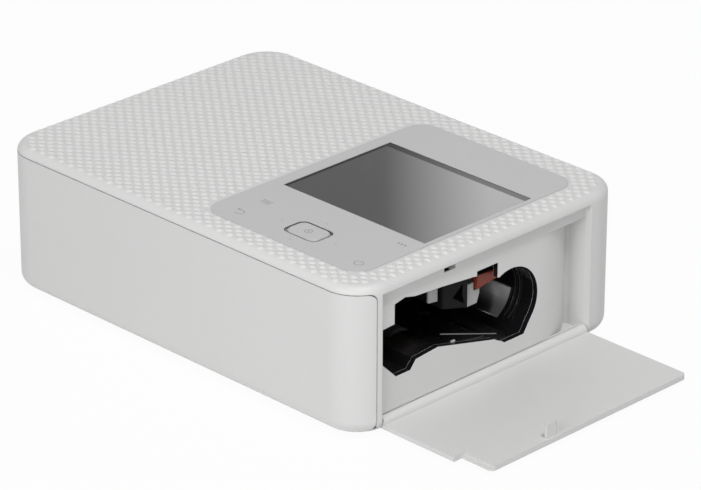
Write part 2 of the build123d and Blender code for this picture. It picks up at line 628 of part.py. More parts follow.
with BuildPart() as upper_paper_guide:
    with BuildSketch(across(guide_low_x)) as roof:
        with BuildLine():
            Polyline((28.5, 19.0), (33, 15.5), (64.2, 15.5), (64.2, 17.0), (34, 17.0), (29.5, 20.2), close=True)
        make_face()
    extrude(roof.sketch, amount=guide_high_x - guide_low_x)
upper_paper_guide.part.label = "upper_paper_guide"
export_step(upper_paper_guide.part, "parts/upper_paper_guide.step")

# ---------------------------------------------------------------- print head

head_ring_radius = 3.3
with BuildPart() as head_arm:
    for low_x in (-40.6, 70.0):
        with BuildSketch(across(low_x)) as lever:
            with BuildLine():
                Polyline(
                    (16, 51.8), (-6, 50.3), (-22, 46.3), (-25, 43.5), (-25, 33.5), (-11, 33.5), (-8, 44.0),
                    (-1, 46.2), (16, 45.2), close=True)
            make_face()
            with Locations(head_at):
                Circle(head_ring_radius)
                Circle(journal_radius, mode=Mode.SUBTRACT)
        extrude(lever.sketch, amount=1.5)
    block((-39.1, -24, 43.2), (70.0, -10, 44.4))
head_arm.part.label = "head_arm"
export_step(head_arm.part, "parts/head_arm.step")

with BuildPart() as head_shaft:
    rod(-49.5, right_plate_x + plate, head_at, journal_radius)
head_shaft.part.label = "head_shaft"
export_step(head_shaft.part, "parts/head_shaft.step")

with BuildPart() as head_springs:
    for low_x in (-36, 58):
        rod(low_x, low_x + 9, head_at, head_ring_radius)
        rod(low_x, low_x + 9, head_at, journal_radius, Mode.SUBTRACT)
head_springs.part.label = "head_springs"
export_step(head_springs.part, "parts/head_springs.step")

with BuildPart() as heat_sink:
    block((-39.1, -29, 33.5), (70.0, -13, 43.2))
    for fin_z in (35.6, 37.9, 40.2):
        block((-39.1, -19.5, fin_z), (70.0, -13, fin_z + 1.3), Mode.SUBTRACT)
heat_sink.part.label = "heat_sink"
export_step(heat_sink.part, "parts/heat_sink.step")

with BuildPart() as thermal_head:
    block((-38, -30, 31.9), (69, -17, 33.5))
    rod(-36, 67, (-28.9, 31.9), 0.9)
thermal_head.part.label = "thermal_head"
export_step(thermal_head.part, "parts/thermal_head.step")

with BuildPart() as head_end_cover:
    block((71.5, -22.6, 30.5), (82.5, -7.5, 43.2))
    chamfer(head_end_cover.edges().filter_by(Axis.X), 1.2)
head_end_cover.part.label = "head_end_cover"
export_step(head_end_cover.part, "parts/head_end_cover.step")

with BuildPart() as head_sector:
    with BuildSketch(across(gear_low_x, head_at)) as sector:
        Circle(4.2)
        with BuildLine():
            CenterArc((0, 0), 12.8, -38, 46)
            Line((0, 0), (12.8 * cos(radians(-38)), 12.8 * sin(radians(-38))))
            Line((0, 0), (12.8 * cos(radians(8)), 12.8 * sin(radians(8))))
        make_face()
        with PolarLocations(12.8, 8, start_angle=-35, angular_range=41):
            Rectangle(2.0, 1.5)
        Circle(journal_radius, mode=Mode.SUBTRACT)
    extrude(sector.sketch, amount=gear_high_x - gear_low_x)
head_sector.part.label = "head_sector"
export_step(head_sector.part, "parts/head_sector.step")

# ---------------------------------------------------------------- spindles, gears and motors

for name, centre, tail_x in (("supply_spindle", supply_at, -49.0), ("takeup_spindle", takeup_at, -52.5)):
    with BuildPart() as spindle:
        rod(tail_x, -33, centre, journal_radius)
        rod(-41.4, -38.6, centre, 6.0)
        rod(-38.6, -33, centre, 3.6)
        with BuildSketch(across(-38.6, centre)) as drive_ribs:
            with PolarLocations(3.6, 3):
                Rectangle(3.0, 1.2)
        extrude(drive_ribs.sketch, amount=4.4)
        if name == "supply_spindle":
            rod(gear_low_x, gear_high_x, centre, 6.0)
    spindle.part.label = name
    export_step(spindle.part, f"parts/{name}.step")

with BuildPart() as takeup_gear:
    gear_blank(-52.5, -50.0, takeup_at, 48, 11.85, 1.0, journal_radius)
takeup_gear.part.label = "takeup_gear"
export_step(takeup_gear.part, "parts/takeup_gear.step")

with BuildPart() as idler_gear:
    gear_blank(gear_low_x, gear_high_x, idler_at, 38, 9.35, 1.0, 1.5 + running_gap)
idler_gear.part.label = "idler_gear"
export_step(idler_gear.part, "parts/idler_gear.step")

motors = [
    ("feed_motor", feed_motor_at, 10.5, -72.0, 10, 2.3, 1.0),
    ("ribbon_motor", ribbon_motor_at, 8.0, -76.0, 12, 2.85, 1.0),
    ("head_motor", head_motor_at, 6.0, -70.0, 10, 2.3, 1.0),
]
for name, centre, radius, rear_x, teeth, tip, axle in motors:
    with BuildPart() as motor:
        rod(rear_x, bracket_x, centre, radius)
        rod(bracket_x - 8, bracket_x + 1, centre, axle + running_gap, Mode.SUBTRACT)
        chamfer(motor.edges().group_by(Axis.X)[0], 0.8)
    motor.part.label = name
    export_step(motor.part, f"parts/{name}.step")
    low_x, high_x = (-52.6, -49.9) if name == "ribbon_motor" else (-48.6, -45.9)
    with BuildPart() as pinion:
        rod(bracket_x - 7, high_x, centre, axle)
        gear_blank(low_x, high_x, centre, teeth, tip, 0.7, 0.5)
    pinion.part.label = f"{name}_pinion"
    export_step(pinion.part, f"parts/{name}_pinion.step")

# ---------------------------------------------------------------- lock lever

with BuildPart() as lock_lever:
    with BuildSketch(across(80.5)) as tab:
        with BuildLine():
            Polyline((-2.3, 35.8), (2.6, 36.6), (8.0, 37.2), (8.0, 40.6), (-2.3, 41.4), close=True)
        make_face()
    extrude(tab.sketch, amount=4.7)
    block((81.2, 1.0, 40.5), (83.4, 5.0, 47.5))
lock_lever.part.label = "lock_lever"
export_step(lock_lever.part, "parts/lock_lever.step")

with BuildPart() as lever_spring:
    block((80.5, 1.4, 45.4), (80.75, 4.6, 51.4))
    block((80.75, 1.4, 46.0), (81.0, 4.6, 47.6))
lever_spring.part.label = "lever_spring"
export_step(lever_spring.part, "parts/lever_spring.step")

# ---------------------------------------------------------------- boards and sockets

with BuildPart() as main_board:
    block((-86.6, -52.8, 22.2), (-51.0, -25.5, 23.8))
    for x, y, size in ((-57, -33, 6), (-57, -45, 7)):
        block((x - size / 2, y - size / 2, 23.8), (x + size / 2, y + size / 2, 25.2))
main_board.part.label = "main_board"
export_step(main_board.part, "parts/main_board.step")

with BuildPart() as card_and_data_sockets:
    block((-88.8, -51.3, 23.8), (-62, -25.8, 27.6))
    block((-89, -50.6, 24.5), (-63, -26.5, 26.9), Mode.SUBTRACT)
    block((-88.8, -42.6, 18.8), (-80.6, -33.6, 22.2))
    block((-89, -42.0, 19.4), (-82, -34.2, 21.6), Mode.SUBTRACT)
    block((-88.0, -41.0, 20.2), (-82, -35.2, 20.8))
card_and_data_sockets.part.label = "card_and_data_sockets"
export_step(card_and_data_sockets.part, "parts/card_and_data_sockets.step")

with BuildPart() as power_board:
    block((-83.0, 45.5, 20.0), (-50.0, 61.5, 21.6))
    post(-58, 54, 21.6, 31, 4.0)
power_board.part.label = "power_board"
export_step(power_board.part, "parts/power_board.step")

with BuildPart() as power_socket:
    block((-76, 53.5, 21.6), (-64, half_depth - wall, 31.0))
    block((-74.8, half_depth - wall, 22.6), (-65.2, half_depth - 0.6, 30.2))
    with Locations(Location((-70, half_depth - 5, 26.4), (90, 0, 0))):
        Cylinder(3.1, 12, mode=Mode.SUBTRACT)
    with Locations(Location((-70, half_depth - 6.5, 26.4), (90, 0, 0))):
        Cylinder(0.9, 9)
power_socket.part.label = "power_socket"
export_step(power_socket.part, "parts/power_socket.step")
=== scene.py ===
import json
import math

import bmesh
import bpy
from mathutils import Matrix, Vector


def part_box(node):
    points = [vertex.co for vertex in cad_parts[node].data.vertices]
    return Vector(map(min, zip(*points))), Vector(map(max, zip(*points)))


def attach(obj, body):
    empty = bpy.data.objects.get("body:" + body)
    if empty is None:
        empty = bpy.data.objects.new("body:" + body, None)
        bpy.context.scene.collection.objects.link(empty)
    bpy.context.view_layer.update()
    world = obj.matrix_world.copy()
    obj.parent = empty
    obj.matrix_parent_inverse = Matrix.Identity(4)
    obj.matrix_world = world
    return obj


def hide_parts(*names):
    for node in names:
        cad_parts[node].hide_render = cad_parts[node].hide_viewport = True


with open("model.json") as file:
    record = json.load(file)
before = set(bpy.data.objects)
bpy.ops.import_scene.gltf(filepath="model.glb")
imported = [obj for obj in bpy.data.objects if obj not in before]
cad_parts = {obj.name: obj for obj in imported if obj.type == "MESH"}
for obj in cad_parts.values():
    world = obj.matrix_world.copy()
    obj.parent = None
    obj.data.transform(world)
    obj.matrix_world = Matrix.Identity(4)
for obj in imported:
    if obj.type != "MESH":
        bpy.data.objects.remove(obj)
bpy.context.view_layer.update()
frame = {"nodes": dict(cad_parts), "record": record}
scene = bpy.context.scene
scene.view_settings.view_transform = "Standard"
mm = 0.001
print("frame loaded:", len(frame["nodes"]), "nodes")


# camera, at the photograph's angle

view = {
    "azimuth": 45.158, "elevation": 24.899, "roll": 0.119,  # degrees
    "distance": 1.454224, "aimHeight": 0.0288,
    "right": 0.014716, "up": -0.004318,  # where the lens axis passes the aim point
    "lens": 207.70, "sensor": 36.0,
}


def viewAxes(azimuth, elevation):
    back = Vector((math.sin(azimuth) * math.cos(elevation),
                   -math.cos(azimuth) * math.cos(elevation),
                   math.sin(elevation)))
    right = Vector((math.cos(azimuth), math.sin(azimuth), 0))
    return right, back.cross(right), back


def makeCamera():
    right, up, back = viewAxes(math.radians(view["azimuth"]), math.radians(view["elevation"]))
    roll = math.radians(view["roll"])
    place = (back * view["distance"] + right * view["right"] + up * view["up"]
             + Vector((0, 0, view["aimHeight"])))
    rolledRight = right * math.cos(roll) + up * math.sin(roll)
    rolledUp = up * math.cos(roll) - right * math.sin(roll)
    lens = bpy.data.cameras.new("camera")
    lens.sensor_width = view["sensor"]
    lens.lens = view["lens"]
    camera = bpy.data.objects.new("camera", lens)
    camera.matrix_world = Matrix((
        (rolledRight.x, rolledUp.x, back.x, place.x),
        (rolledRight.y, rolledUp.y, back.y, place.y),
        (rolledRight.z, rolledUp.z, back.z, place.z),
        (0, 0, 0, 1)))
    scene.collection.objects.link(camera)
    scene.camera = camera


makeCamera()


# node helpers

def addNode(tree, kind, settings=None, **values):
    node = tree.nodes.new("ShaderNode" + kind)
    for name, value in (settings or {}).items():
        setattr(node, name, value)
    for name, value in values.items():
        node.inputs[name.replace("_", " ")].default_value = value
    return node


def joinNodes(tree, source, output, target, socket):
    tree.links.new(source.outputs[output], target.inputs[socket])


def mathNode(tree, operation, first, second):
    node = addNode(tree, "Math", {"operation": operation})
    for index, value in enumerate((first, second)):
        if isinstance(value, (int, float)):
            node.inputs[index].default_value = value
        else:
            tree.links.new(value, node.inputs[index])
    return node.outputs[0]


def blendColours(tree, mask, first, second):
    node = addNode(tree, "Mix", {"data_type": "RGBA"})
    tree.links.new(mask, node.inputs["Factor"])
    for name, value in (("A", first), ("B", second)):
        socket = [s for s in node.inputs if s.name == name and s.type == "RGBA"][0]
        if isinstance(value, (tuple, list)):
            socket.default_value = (*value, 1)
        else:
            tree.links.new(value, socket)
    return [s for s in node.outputs if s.type == "RGBA"][0]


def startMaterial(name):
    material = bpy.data.materials.new(name)
    material.use_nodes = True
    return material, material.node_tree, material.node_tree.nodes["Principled BSDF"]


def makeGroup(name, inputs, outputs):
    group = bpy.data.node_groups.new(name, "ShaderNodeTree")
    for label, value in inputs.items():
        socket = group.interface.new_socket(label, in_out="INPUT", socket_type="NodeSocketFloat")
        socket.default_value = value
    for label, kind in outputs.items():
        group.interface.new_socket(label, in_out="OUTPUT", socket_type="NodeSocket" + kind)
    start = group.nodes.new("NodeGroupInput")
    end = group.nodes.new("NodeGroupOutput")
    return group, start, end


def makeMouldGrain():  # spark-eroded mould texture: fine pits over softer waves
    group, start, end = makeGroup("mouldGrain", {"Fineness": 3200, "Waviness": 240},
                                  {"Height": "Float", "Tone": "Float"})
    place = addNode(group, "TexCoord")
    pits = addNode(group, "TexVoronoi", {"feature": "SMOOTH_F1"}, Smoothness=0.6)
    waves = addNode(group, "TexNoise", Detail=3.0, Roughness=0.55)
    for node, rate in ((pits, "Fineness"), (waves, "Waviness")):
        joinNodes(group, place, "Object", node, "Vector")
        joinNodes(group, start, rate, node, "Scale")
    height = mathNode(group, "ADD", mathNode(group, "MULTIPLY", pits.outputs["Distance"], 0.7),
                      mathNode(group, "MULTIPLY", waves.outputs[0], 0.5))
    group.links.new(height, end.inputs["Height"])
    group.links.new(waves.outputs[0], end.inputs["Tone"])
    return group


def makeEdgeWearAndHighlight():  # finds edges for wear and a painted edge highlight, and rounds them for the light
    group, start, end = makeGroup("edgeWearAndHighlight", {"Radius": 0.0003},
                                  {"Edge": "Float", "Normal": "Vector"})
    rounded = addNode(group, "Bevel", {"samples": 4})
    joinNodes(group, start, "Radius", rounded, "Radius")
    flat = addNode(group, "NewGeometry")
    facing = addNode(group, "VectorMath", {"operation": "DOT_PRODUCT"})
    joinNodes(group, rounded, "Normal", facing, 0)
    joinNodes(group, flat, "True Normal", facing, 1)
    edge = addNode(group, "MapRange", {"interpolation_type": "SMOOTHSTEP"},
                   From_Min=0.995, From_Max=0.80)
    joinNodes(group, facing, "Value", edge, "Value")
    joinNodes(group, edge, "Result", end, "Edge")
    joinNodes(group, rounded, "Normal", end, "Normal")
    return group


def makeHandling():  # broad soft cloudiness and small smudges left by hands
    group, start, end = makeGroup("handling", {"Patches": 22, "Smudges": 90},
                                  {"Cloud": "Float", "Smudge": "Float"})
    place = addNode(group, "TexCoord")
    cloud = addNode(group, "TexNoise", Detail=4.0, Roughness=0.5, Distortion=0.3)
    smudge = addNode(group, "TexNoise", Detail=6.0, Roughness=0.65, Distortion=1.2)
    for node, rate in ((cloud, "Patches"), (smudge, "Smudges")):
        joinNodes(group, place, "Object", node, "Vector")
        joinNodes(group, start, rate, node, "Scale")
    spread = addNode(group, "MapRange", {"interpolation_type": "SMOOTHSTEP"},
                     From_Min=0.52, From_Max=0.72)
    group.links.new(smudge.outputs[0], spread.inputs["Value"])
    group.links.new(cloud.outputs[0], end.inputs["Cloud"])
    joinNodes(group, spread, "Result", end, "Smudge")
    return group


def makeDrawnLines():  # rolling, drawing or turning marks, long in one direction
    group, start, end = makeGroup("drawnLines", {"Along": 12, "Across": 2600},
                                  {"Height": "Float", "Tone": "Float"})
    place = addNode(group, "TexCoord")
    split = addNode(group, "SeparateXYZ")
    joinNodes(group, place, "Object", split, 0)
    gather = addNode(group, "CombineXYZ")
    for axis, rate in (("X", "Along"), ("Y", "Across"), ("Z", "Across")):
        stretched = mathNode(group, "MULTIPLY", split.outputs[axis], start.outputs[rate])
        group.links.new(stretched, gather.inputs[axis])
    lines = addNode(group, "TexNoise", Scale=1.0, Detail=5.0, Roughness=0.7)
    joinNodes(group, gather, "Vector", lines, "Vector")
    group.links.new(lines.outputs[0], end.inputs["Height"])
    group.links.new(lines.outputs[0], end.inputs["Tone"])
    return group


mouldGrain = makeMouldGrain()
edgeWearAndHighlight = makeEdgeWearAndHighlight()
handling = makeHandling()
drawnLines = makeDrawnLines()


def useGroup(tree, group, **values):
    node = tree.nodes.new("ShaderNodeGroup")
    node.node_tree = group
    for name, value in values.items():
        node.inputs[name].default_value = value
    return node


def shade(colour, factor):
    return tuple(min(1.0, part * factor) for part in colour)


def spanMask(tree, spans, fade):  # 1 inside a box given along the object's own axes
    place = addNode(tree, "TexCoord")
    split = addNode(tree, "SeparateXYZ")
    joinNodes(tree, place, "Object", split, 0)
    mask = None
    for axis, (low, high) in spans.items():
        for value, sign in ((low, 1), (high, -1)):
            ramp = addNode(tree, "MapRange", {"interpolation_type": "SMOOTHSTEP"},
                           From_Min=value - sign * fade, From_Max=value + sign * fade)
            joinNodes(tree, split, axis, ramp, "Value")
            mask = ramp.outputs["Result"] if mask is None else mathNode(
                tree, "MULTIPLY", mask, ramp.outputs["Result"])
    return mask


plainLook = {  # what a finish has where its own look says nothing
    "edgeRadius": 0.0003, "wearAndHighlight": 0.3, "wearAndHighlightShade": 1.12,
    "patches": 22, "cloud": 0.03, "smudges": 90, "polished": 0.88,
    "fineness": 3200, "waviness": 240, "toneShare": 0.2, "grainShade": 0.9,
    "depth": 0.00002, "bump": 0.35,
}


def makeFinish(name, ownLook):
    look = {**plainLook, **ownLook}
    material, tree, shader = startMaterial(name)
    for socket, value in look.get("shader", {}).items():
        shader.inputs[socket].default_value = value
    edge = useGroup(tree, edgeWearAndHighlight, Radius=look["edgeRadius"])
    marks = useGroup(tree, handling, Patches=look["patches"], Smudges=look["smudges"])
    if "lines" in look:
        grain = useGroup(tree, drawnLines, Along=look["lines"][0], Across=look["lines"][1])
    else:
        grain = useGroup(tree, mouldGrain, Fineness=look["fineness"], Waviness=look["waviness"])
    colour = look["colour"]
    base = blendColours(tree, marks.outputs["Cloud"], shade(colour, 1 - look["cloud"]),
                        shade(colour, 1 + look["cloud"]))
    toned = blendColours(tree, mathNode(tree, "MULTIPLY", grain.outputs["Tone"], look["toneShare"]),
                         base, shade(colour, look["grainShade"]))
    # edges blend towards a lighter colour: partly wear, partly a painted edge highlight
    wornAndHighlit = blendColours(tree, mathNode(tree, "MULTIPLY", edge.outputs["Edge"], look["wearAndHighlight"]),
                        toned, look.get("edgeWearAndHighlightColour", shade(colour, look["wearAndHighlightShade"])))
    polish = addNode(tree, "MapRange", To_Min=look["roughness"],
                     To_Max=look["roughness"] * look["polished"])
    joinNodes(tree, marks, "Smudge", polish, "Value")
    rough = polish.outputs["Result"]
    # the boxes paint a black lining's colour on the housing's bay mouth, and painted shade in the latch slot
    # and low on the lobe guide
    if "liningAndPaintedShade" in look:  # darkened inside the given boxes
        mask = 0.0
        for spans, fade in look["liningAndPaintedShade"]:
            mask = mathNode(tree, "MAXIMUM", spanMask(tree, spans, fade), mask)
        wornAndHighlit = blendColours(tree, mask, wornAndHighlit, look["liningAndPaintedShadeColour"])
        rough = mathNode(tree, "SUBTRACT", rough, mathNode(tree, "MULTIPLY", mask, look["liningAndPaintedShadeGloss"]))
    tree.links.new(wornAndHighlit, shader.inputs["Base Color"])
    tree.links.new(rough, shader.inputs["Roughness"])
    bump = addNode(tree, "Bump", Strength=look["bump"], Distance=look["depth"])
    joinNodes(tree, grain, "Height", bump, "Height")
    joinNodes(tree, edge, "Normal", bump, "Normal")
    joinNodes(tree, bump, "Normal", shader, "Normal")
    return material


# finishes, one for each of the record's material slots

finishLooks = {
    "white_shell": {"colour": (0.72, 0.72, 0.715), "roughness": 0.5, "fineness": 3600, "depth": 0.000014,
                    "cloud": 0.012, "wearAndHighlight": 0.2, "edgeRadius": 0.00035},
    "panel_film": {"colour": (0.57, 0.57, 0.57), "roughness": 0.40, "fineness": 5200, "depth": 0.000006,
                   "cloud": 0.012, "wearAndHighlight": 0.2, "edgeRadius": 0.0002},
    "inner_white": {"colour": (0.70, 0.70, 0.695), "roughness": 0.46, "fineness": 2400, "depth": 0.00001,
                    "cloud": 0.02, "wearAndHighlight": 0.15, "waviness": 120},
    "bay_black": {"colour": (0.008, 0.008, 0.009), "roughness": 0.2, "fineness": 900, "depth": 0.000003,
                  "cloud": 0.2, "wearAndHighlight": 0.12, "edgeWearAndHighlightColour": (0.04, 0.04, 0.045), "smudges": 60,
                  "polished": 1.6, "waviness": 60, "shader": {"Coat Weight": 0.5, "Coat Roughness": 0.06}},
    "dark_plastic": {"colour": (0.007, 0.007, 0.008), "roughness": 0.6, "fineness": 3000, "depth": 0.00002,
                     "cloud": 0.12, "wearAndHighlight": 0.2, "edgeWearAndHighlightColour": (0.05, 0.052, 0.055),
                     "shader": {"Specular IOR Level": 0.1}},
    "steel": {"colour": (0.56, 0.57, 0.58), "roughness": 0.34, "lines": (40, 1900), "depth": 0.000006,
              "cloud": 0.06, "wearAndHighlight": 0.4, "edgeWearAndHighlightColour": (0.72, 0.73, 0.74),
              "shader": {"Metallic": 1.0}},
    "screw_steel": {"colour": (0.42, 0.42, 0.43), "roughness": 0.36, "fineness": 1800, "depth": 0.000008,
                    "cloud": 0.1, "wearAndHighlight": 0.5, "edgeWearAndHighlightColour": (0.62, 0.62, 0.63),
                    "shader": {"Metallic": 1.0}},
    "aluminium": {"colour": (0.62, 0.63, 0.64), "roughness": 0.4, "lines": (8, 1500), "depth": 0.00001,
                  "cloud": 0.05, "wearAndHighlight": 0.35, "edgeWearAndHighlightColour": (0.75, 0.76, 0.77),
                  "shader": {"Metallic": 1.0}},
    "ceramic": {"colour": (0.30, 0.24, 0.18), "roughness": 0.22, "fineness": 1500, "depth": 0.000006,
                "cloud": 0.1, "wearAndHighlight": 0.2, "edgeWearAndHighlightColour": (0.5, 0.45, 0.38),
                "shader": {"Coat Weight": 0.5, "Coat Roughness": 0.08}},
    "rubber": {"colour": (0.030, 0.030, 0.030), "roughness": 0.78, "fineness": 2600, "depth": 0.00004,
               "cloud": 0.25, "wearAndHighlight": 0.3, "edgeWearAndHighlightColour": (0.07, 0.07, 0.07)},
    "gear_plastic": {"colour": (0.70, 0.68, 0.62), "roughness": 0.38, "fineness": 2200, "depth": 0.000008,
                     "cloud": 0.03, "wearAndHighlight": 0.25,
                     "shader": {"Subsurface Weight": 0.15, "Subsurface Scale": 0.001}},
    "brass": {"colour": (0.70, 0.55, 0.25), "roughness": 0.28, "lines": (2400, 60), "depth": 0.000006,
              "cloud": 0.08, "wearAndHighlight": 0.4, "edgeWearAndHighlightColour": (0.86, 0.72, 0.42),
              "shader": {"Metallic": 1.0}},
    "spindle_plastic": {"colour": (0.42, 0.42, 0.42), "roughness": 0.42, "fineness": 2600,
                        "depth": 0.00001, "cloud": 0.04, "wearAndHighlight": 0.25},
    "lever_brown": {"colour": (0.205, 0.034, 0.016), "roughness": 0.42, "fineness": 2600,
                    "depth": 0.000014, "cloud": 0.12, "wearAndHighlight": 0.3, "edgeWearAndHighlightColour": (0.28, 0.08, 0.045),
                    "shader": {"Specular IOR Level": 0.35}},
    "switch_black": {"colour": (0.03, 0.03, 0.03), "roughness": 0.45, "fineness": 3000,
                     "depth": 0.00001, "cloud": 0.1, "wearAndHighlight": 0.3, "edgeWearAndHighlightColour": (0.08, 0.08, 0.08)},
    "board_green": {"colour": (0.03, 0.16, 0.07), "roughness": 0.3, "fineness": 2000, "depth": 0.00001,
                    "cloud": 0.1, "wearAndHighlight": 0.5, "edgeWearAndHighlightColour": (0.30, 0.26, 0.12),
                    "shader": {"Coat Weight": 0.35, "Coat Roughness": 0.12}},
}
finishes = {name: makeFinish(name, look) for name, look in finishLooks.items()}


# finishes of single pieces: a black lining in the bay mouth and painted shade in the latch slot, painted
# shade that darkens a wall downwards, bare black for the head's arrow mark and for painted shade plates, and
# dots painted paler than the shell under them as a painted highlight

# the first box carries the black liner's colour onto the bay mouth's wall; the second box is painted shade in
# the latch slot
housingLook = {
    **finishLooks["white_shell"],
    "liningAndPaintedShade": (({"X": (0.0863, 0.08832), "Y": (-0.0530, 0.0260), "Z": (0.0125, 0.0458)}, 0.00002),
               ({"X": (0.0852, 0.08800), "Y": (-0.0235, -0.0187), "Z": (0.0498, 0.0530)}, 0.0003)),
    "liningAndPaintedShadeColour": (0.009, 0.009, 0.010), "liningAndPaintedShadeGloss": 0.28,
}
# painted shade: the lobe guide's grey wall is darkened towards the bottom, below 21.5 mm
guidePaintedShadeLook = {
    **finishLooks["spindle_plastic"],
    "liningAndPaintedShade": (({"Z": (-1.0, 0.0215)}, 0.0048),),
    "liningAndPaintedShadeColour": (0.012, 0.012, 0.013), "liningAndPaintedShadeGloss": 0.2,
}
# matt black with no reflection: the head's arrow mark's own black, and painted shade on the plates in the bay
# mouth
blackAndPaintedShadeLook = {
    "colour": (0.002, 0.002, 0.002), "roughness": 0.85, "wearAndHighlight": 0.0, "cloud": 0.2, "depth": 0.000004,
    "shader": {"Specular IOR Level": 0.0},
}
# painted highlight: the dots are a paler, glossier copy of the shell's white
dotHighlightLook = {**finishLooks["white_shell"], "colour": (0.77, 0.77, 0.765), "roughness": 0.38}
blackAndPaintedShadeFinish = makeFinish("matt_black_and_painted_shade", blackAndPaintedShadeLook)
dotHighlightFinish = makeFinish("dot_crowns_painted_highlight", dotHighlightLook)
guidePaintedShadeFinish = makeFinish("guide_grey_painted_shade", guidePaintedShadeLook)
housingFinish = makeFinish("housing_shell", housingLook)


# display window: clear front over a dark border and a slightly paler screen

displayLook = {
    "screen": {"X": (0.0104, 0.0800), "Y": (-0.0250, 0.0288)}, "fade": 0.0003,
    "border": (0.006, 0.006, 0.007), "face": (0.024, 0.024, 0.026),
    "roughness": 0.10, "smudged": 1.35, "specular": 0.28, "coatRoughness": 0.03,
    "patches": 40, "smudges": 120,
}


def makeDisplayGlass():
    material, tree, shader = startMaterial("display_glass")
    shader.inputs["Specular IOR Level"].default_value = displayLook["specular"]
    shader.inputs["Coat Roughness"].default_value = displayLook["coatRoughness"]
    mask = spanMask(tree, displayLook["screen"], displayLook["fade"])
    colour = blendColours(tree, mask, displayLook["border"], displayLook["face"])
    tree.links.new(colour, shader.inputs["Base Color"])
    tree.links.new(mask, shader.inputs["Coat Weight"])
    marks = useGroup(tree, handling, Patches=displayLook["patches"], Smudges=displayLook["smudges"])
    polish = addNode(tree, "MapRange", To_Min=displayLook["roughness"],
                     To_Max=displayLook["roughness"] * displayLook["smudged"])
    joinNodes(tree, marks, "Smudge", polish, "Value")
    joinNodes(tree, polish, "Result", shader, "Roughness")
    return material


finishes["display_glass"] = makeDisplayGlass()
for part in frame["record"]["subparts"]:
    finish = housingFinish if part["node"] == "housing" else finishes[part["material_slot"]]
    for materialSlot in frame["nodes"][part["node"]].material_slots:
        materialSlot.material = finish
print("finishes:", len(finishes))


# shared by the new pieces

def finishPiece(mesh, name, body, finish, smooth=False):
    bmesh.ops.recalc_face_normals(mesh, faces=mesh.faces)
    data = bpy.data.meshes.new(name)
    mesh.to_mesh(data)
    mesh.free()
    data.materials.append(finish)
    for face in data.polygons:
        face.use_smooth = smooth
    piece = bpy.data.objects.new(name, data)
    scene.collection.objects.link(piece)
    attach(piece, body)
    return piece


def extrudeAll(mesh, faces, move):
    grown = bmesh.ops.extrude_face_region(mesh, geom=faces)["geom"]
    bmesh.ops.translate(mesh, vec=move,
                        verts=[item for item in grown if isinstance(item, bmesh.types.BMVert)])


# raised dots over the top, on a staggered grid

dots = {
    "pitchX": 2.575 * mm, "pitchY": 2.105 * mm,  # half the spacing of a row, and of a column
    "halfX": 1.80 * mm, "halfY": 1.48 * mm, "diagonal": 0.86,
    "base": 57.15 * mm, "top": 57.60 * mm,
    "profile": ((0.80, 0.52), (0.64, 0.86), (0.45, 1.0)),  # each ring's share of the last, and its height
    "columns": 34, "rows": 31,
    "edgeX": 87.6 * mm, "edgeY": 63.8 * mm, "cornerRadius": 11.0 * mm,
    "clear": (1.5 * mm, 81.0 * mm, -56.2 * mm, 54.2 * mm), "clearRadius": 8.0 * mm,
    "flatX": 87.7 * mm, "flatY": 63.1 * mm, "flatRadius": 10.6 * mm,
    "rounding": 3.4 * mm, "steepest": 0.97,  # the edge's radius, and how far round it dots may sit
    "mostX": 90.9 * mm, "mostY": 66.3 * mm,
}


def edgeDrop(x, y):  # how far the rounded edge of the top lies below its flat part
    cornerX, cornerY = dots["flatX"] - dots["flatRadius"], dots["flatY"] - dots["flatRadius"]
    if abs(x) > cornerX and abs(y) > cornerY:
        out = math.hypot(abs(x) - cornerX, abs(y) - cornerY) - dots["flatRadius"]
    else:
        out = max(abs(x) - dots["flatX"], abs(y) - dots["flatY"])
    out = min(max(out, 0), dots["rounding"] * dots["steepest"])
    return dots["rounding"] - math.sqrt(dots["rounding"] ** 2 - out ** 2)


def insideRounded(x, y, lowX, highX, lowY, highY, radius):
    dx = max(lowX + radius - x, x - highX + radius, 0)
    dy = max(lowY + radius - y, y - highY + radius, 0)
    return math.hypot(dx, dy) <= radius


